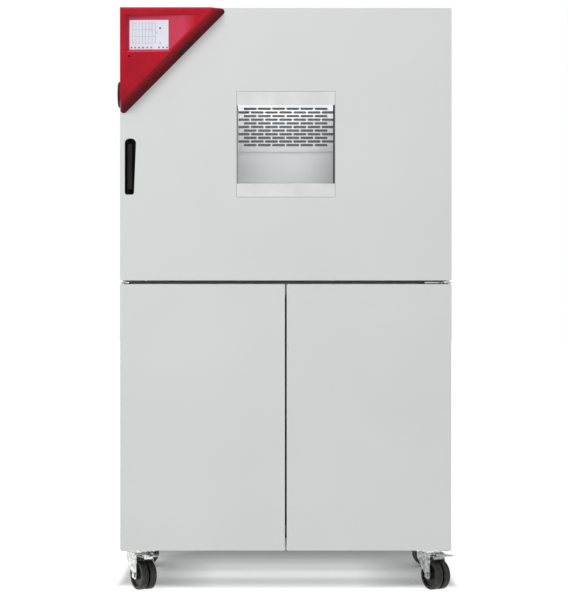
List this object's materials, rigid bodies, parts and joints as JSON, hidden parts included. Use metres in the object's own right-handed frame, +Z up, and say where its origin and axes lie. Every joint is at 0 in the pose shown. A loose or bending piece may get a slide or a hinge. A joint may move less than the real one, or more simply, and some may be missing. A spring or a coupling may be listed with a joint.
{
  "type": "environmental test chamber",
  "caption": "Floor-standing climate test chamber on swivel casters with a windowed insulated door, a triangular red control housing and a machine compartment behind lower doors.",
  "frame": {"origin": "on the floor under the middle of the whole chamber", "axes": "+Z up, the doors face -Y, +X to the right when seen from the front"},
  "size_m": [0.9405, 0.717, 1.57],
  "materials": {
    "aluminium": "satin",
    "black_plastic": "matte",
    "black_rubber": "matte",
    "brass": "satin",
    "can_plastic": "satin",
    "compressor_paint": "gloss",
    "display": "gloss",
    "door_seal": "matte",
    "glass": "clear",
    "grp_frame": "satin",
    "insulation_foam": "matte",
    "lamp": "gloss",
    "painted_sheet": "satin",
    "red_housing": "satin",
    "stainless": "brushed",
    "wheel": "matte",
    "zinc_plated": "satin",
    "zinc_sheet": "satin"
  },
  "bodies": {
    "cabinet": {"base_frame": "zinc_sheet", "side_panel_left": "painted_sheet", "side_panel_right": "painted_sheet", "lower_front_frame": "zinc_sheet", "mid_deck": "zinc_sheet", "top_panel": "painted_sheet", "upper_rear_panel": "zinc_sheet", "machine_rear_panel": "zinc_sheet", "front_frame": "grp_frame", "chamber_insulation": "insulation_foam", "inner_vessel": "stainless", "air_baffle": "stainless", "shelf_rails": "stainless", "shelf": "stainless", "evaporator_coil": "aluminium", "heater_coil": "stainless", "fan_motor": "aluminium", "climate_probe": "stainless", "chamber_lamp": "lamp", "port_sleeve": "stainless", "centre_hinge_bracket": "zinc_plated", "hinge_brackets": "zinc_plated", "caster_plates": "zinc_plated", "compressor": "compressor_paint", "condenser_coil": "aluminium", "condenser_fan_shroud": "zinc_sheet", "steam_humidifier": "stainless", "water_cans": "can_plastic", "electrical_box": "painted_sheet", "power_gland": "black_plastic", "water_fittings": "brass", "main_switch_plate": "black_plastic"},
    "main_door": {"door_outer_skin": "painted_sheet", "door_insulation": "insulation_foam", "door_inner_liner": "stainless", "door_gasket": "door_seal", "window_frame": "grp_frame", "window_panes": "glass", "door_hinge_bushes": "black_plastic", "handle_pocket": "black_plastic", "controller_housing": "red_housing", "touch_display": "display"},
    "handle": {"handle_lever": "black_plastic"},
    "cover_flap": {"port_cover": "black_rubber"},
    "left_service_door": {"lower_door_left": "painted_sheet"},
    "right_service_door": {"lower_door_right": "painted_sheet"},
    "circulation_fan": {"fan_impeller": "stainless"},
    "cooling_fan": {"condenser_fan": "aluminium"},
    "port_stopper": {"port_plug": "black_rubber"},
    "main_switch": {"main_switch_knob": "black_plastic"},
    "caster_front_left": {"caster_fork_front_left": "zinc_plated"},
    "wheel_front_left": {"caster_wheel_front_left": "wheel"},
    "brake_front_left": {"caster_brake_front_left": "zinc_plated"},
    "caster_front_right": {"caster_fork_front_right": "zinc_plated"},
    "wheel_front_right": {"caster_wheel_front_right": "wheel"},
    "brake_front_right": {"caster_brake_front_right": "zinc_plated"},
    "caster_rear_left": {"caster_fork_rear_left": "zinc_plated"},
    "wheel_rear_left": {"caster_wheel_rear_left": "wheel"},
    "caster_rear_right": {"caster_fork_rear_right": "zinc_plated"},
    "wheel_rear_right": {"caster_wheel_rear_right": "wheel"}
  },
  "joints": [
    {"name": "main_door_hinge", "type": "hinge", "parent": "cabinet", "child": "main_door", "pos_m": [0.4305, -0.27, 1.2015], "axis": [0, 0, 1], "range_deg": [0, 115]},
    {"name": "handle_pull", "type": "hinge", "parent": "main_door", "child": "handle", "pos_m": [-0.4227, -0.314, 1.14185], "axis": [0, 0, -1], "range_deg": [0, 25], "stiffness_Nm_per_rad": 0.6},
    {"name": "cover_flap_hinge", "type": "hinge", "parent": "main_door", "child": "cover_flap", "pos_m": [-0.26625, -0.33098, 1.4559], "axis": [0.7044, 0, 0.7098], "range_deg": [0, 90]},
    {"name": "left_service_door_hinge", "type": "hinge", "parent": "cabinet", "child": "left_service_door", "pos_m": [-0.4355, -0.315, 0.4725], "axis": [0, 0, -1], "range_deg": [0, 110]},
    {"name": "right_service_door_hinge", "type": "hinge", "parent": "cabinet", "child": "right_service_door", "pos_m": [0.4355, -0.315, 0.4725], "axis": [0, 0, 1], "range_deg": [0, 110]},
    {"name": "circulation_fan_spin", "type": "hinge", "parent": "cabinet", "child": "circulation_fan", "pos_m": [0, 0.16, 1.323], "axis": [0, 1, 0], "continuous": true},
    {"name": "cooling_fan_spin", "type": "hinge", "parent": "cabinet", "child": "cooling_fan", "pos_m": [0.2, 0.2267, 0.315], "axis": [0, 1, 0], "continuous": true},
    {"name": "port_stopper_pull", "type": "slide", "parent": "cabinet", "child": "port_stopper", "axis": [-1, 0, 0], "range_m": [0, 0.16]},
    {"name": "main_switch_turn", "type": "hinge", "parent": "cabinet", "child": "main_switch", "pos_m": [0.4425, 0.06, 0.7], "axis": [1, 0, 0], "range_deg": [0, 90]},
    {"name": "swivel_front_left", "type": "hinge", "parent": "cabinet", "child": "caster_front_left", "pos_m": [-0.397, -0.215, 0.0987], "axis": [0, 0, 1], "continuous": true},
    {"name": "roll_front_left", "type": "hinge", "parent": "caster_front_left", "child": "wheel_front_left", "pos_m": [-0.3867, -0.23214, 0.04], "axis": [0.8572, 0.515, 0], "continuous": true},
    {"name": "brake_pedal_front_left", "type": "hinge", "parent": "caster_front_left", "child": "brake_front_left", "pos_m": [-0.38103, -0.24157, 0.0947], "axis": [-0.8572, -0.515, 0], "range_deg": [-15, 0]},
    {"name": "swivel_front_right", "type": "hinge", "parent": "cabinet", "child": "caster_front_right", "pos_m": [0.397, -0.215, 0.0987], "axis": [0, 0, 1], "continuous": true},
    {"name": "roll_front_right", "type": "hinge", "parent": "caster_front_right", "child": "wheel_front_right", "pos_m": [0.4073, -0.23214, 0.04], "axis": [0.8572, 0.515, 0], "continuous": true},
    {"name": "brake_pedal_front_right", "type": "hinge", "parent": "caster_front_right", "child": "brake_front_right", "pos_m": [0.41297, -0.24157, 0.0947], "axis": [-0.8572, -0.515, 0], "range_deg": [-15, 0]},
    {"name": "swivel_rear_left", "type": "hinge", "parent": "cabinet", "child": "caster_rear_left", "pos_m": [-0.397, 0.215, 0.0987], "axis": [0, 0, 1], "continuous": true},
    {"name": "roll_rear_left", "type": "hinge", "parent": "caster_rear_left", "child": "wheel_rear_left", "pos_m": [-0.4167, 0.21847, 0.04], "axis": [-0.1736, -0.9848, 0], "continuous": true},
    {"name": "swivel_rear_right", "type": "hinge", "parent": "cabinet", "child": "caster_rear_right", "pos_m": [0.397, 0.215, 0.0987], "axis": [0, 0, 1], "continuous": true},
    {"name": "roll_rear_right", "type": "hinge", "parent": "caster_rear_right", "child": "wheel_rear_right", "pos_m": [0.4167, 0.21847, 0.04], "axis": [-0.1736, 0.9848, 0], "continuous": true}
  ]
}
